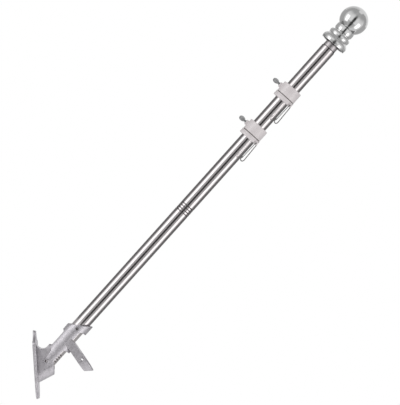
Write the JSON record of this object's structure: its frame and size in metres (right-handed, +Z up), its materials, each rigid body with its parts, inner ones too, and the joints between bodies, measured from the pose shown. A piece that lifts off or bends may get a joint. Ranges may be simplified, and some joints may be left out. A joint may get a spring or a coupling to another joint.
{
  "type": "wall-mounted flagpole",
  "caption": "Sectional steel flagpole with a ball finial and anti-wrap rings with wire clips, seated at an angle in a cast two-position wall bracket.",
  "frame": {"origin": "on the wall face of the bracket, on the axis of its straight-out socket", "axes": "+X out from the wall, +Z up, +Y along the wall; the pole rises in the XZ plane at 45 degrees"},
  "size_m": [0.5844, 0.0746, 0.6237],
  "materials": {
    "cast_silver": "hammered silver paint on cast aluminium",
    "steel_tube": "fine satin, drawn along the tube",
    "insert_metal": "plain turned",
    "ferrule_metal": "satin",
    "bright_chrome": "polished",
    "ring_white": "glossy",
    "screw_metal": "nickel plated",
    "wire_metal": "bright drawn wire"
  },
  "bodies": {
    "bracket": {"bracket": "cast_silver"},
    "pole": {"lower_tube": "steel_tube", "upper_tube": "steel_tube", "coupling": "insert_metal", "bottom_plug": "insert_metal", "finial_ferrule": "ferrule_metal", "finial_base": "bright_chrome", "finial_ball": "bright_chrome"},
    "lower_collar": {"lower_collar": "ring_white"},
    "lower_spinner": {"lower_spinner": "ring_white"},
    "lower_screw": {"lower_thumb_screw": "screw_metal"},
    "lower_clip": {"lower_clip_hook": "wire_metal"},
    "lower_gate": {"lower_clip_gate": "wire_metal"},
    "upper_collar": {"upper_collar": "ring_white"},
    "upper_spinner": {"upper_spinner": "ring_white"},
    "upper_screw": {"upper_thumb_screw": "screw_metal"},
    "upper_clip": {"upper_clip_hook": "wire_metal"},
    "upper_gate": {"upper_clip_gate": "wire_metal"}
  },
  "joints": [
    {"name": "pole_lift", "type": "slide", "parent": "bracket", "child": "pole", "axis": [0.7071, 0, 0.7071], "range_m": [0, 0.15]},
    {"name": "lower_ring_slide", "type": "slide", "parent": "pole", "child": "lower_collar", "axis": [0.7071, 0, 0.7071], "range_m": [-0.35, 0.005]},
    {"name": "lower_ring_spin", "type": "hinge", "parent": "lower_collar", "child": "lower_spinner", "pos_m": [0.37403, 0, 0.35403], "axis": [0.7071, 0, 0.7071], "continuous": true},
    {"name": "lower_screw_turn", "type": "hinge", "parent": "lower_collar", "child": "lower_screw", "pos_m": [0.3659, 0, 0.38833], "axis": [-0.7071, 0, 0.7071], "continuous": true},
    {"name": "lower_clip_swing", "type": "hinge", "parent": "lower_spinner", "child": "lower_clip", "pos_m": [0.38742, -0.01452, 0.34461], "axis": [-0.4731, -0.7431, 0.4731], "range_deg": [0, 100]},
    {"name": "lower_gate_open", "type": "hinge", "parent": "lower_clip", "child": "lower_gate", "pos_m": [0.38374, -0.0163, 0.3432], "axis": [0.5255, -0.6691, -0.5255], "range_deg": [0, 9], "stiffness_Nm_per_rad": 0.02, "springref_deg": -5.73},
    {"name": "upper_ring_slide", "type": "slide", "parent": "pole", "child": "upper_collar", "axis": [0.7071, 0, 0.7071], "range_m": [-0.005, 0.08]},
    {"name": "upper_ring_spin", "type": "hinge", "parent": "upper_collar", "child": "upper_spinner", "pos_m": [0.43343, 0, 0.41343], "axis": [0.7071, 0, 0.7071], "continuous": true},
    {"name": "upper_screw_turn", "type": "hinge", "parent": "upper_collar", "child": "upper_screw", "pos_m": [0.4253, 0, 0.44772], "axis": [-0.7071, 0, 0.7071], "continuous": true},
    {"name": "upper_clip_swing", "type": "hinge", "parent": "upper_spinner", "child": "upper_clip", "pos_m": [0.44681, -0.01452, 0.40401], "axis": [-0.4731, -0.7431, 0.4731], "range_deg": [0, 100]},
    {"name": "upper_gate_open", "type": "hinge", "parent": "upper_clip", "child": "upper_gate", "pos_m": [0.44313, -0.0163, 0.4026], "axis": [0.5255, -0.6691, -0.5255], "range_deg": [0, 9], "stiffness_Nm_per_rad": 0.02, "springref_deg": -5.73}
  ]
}
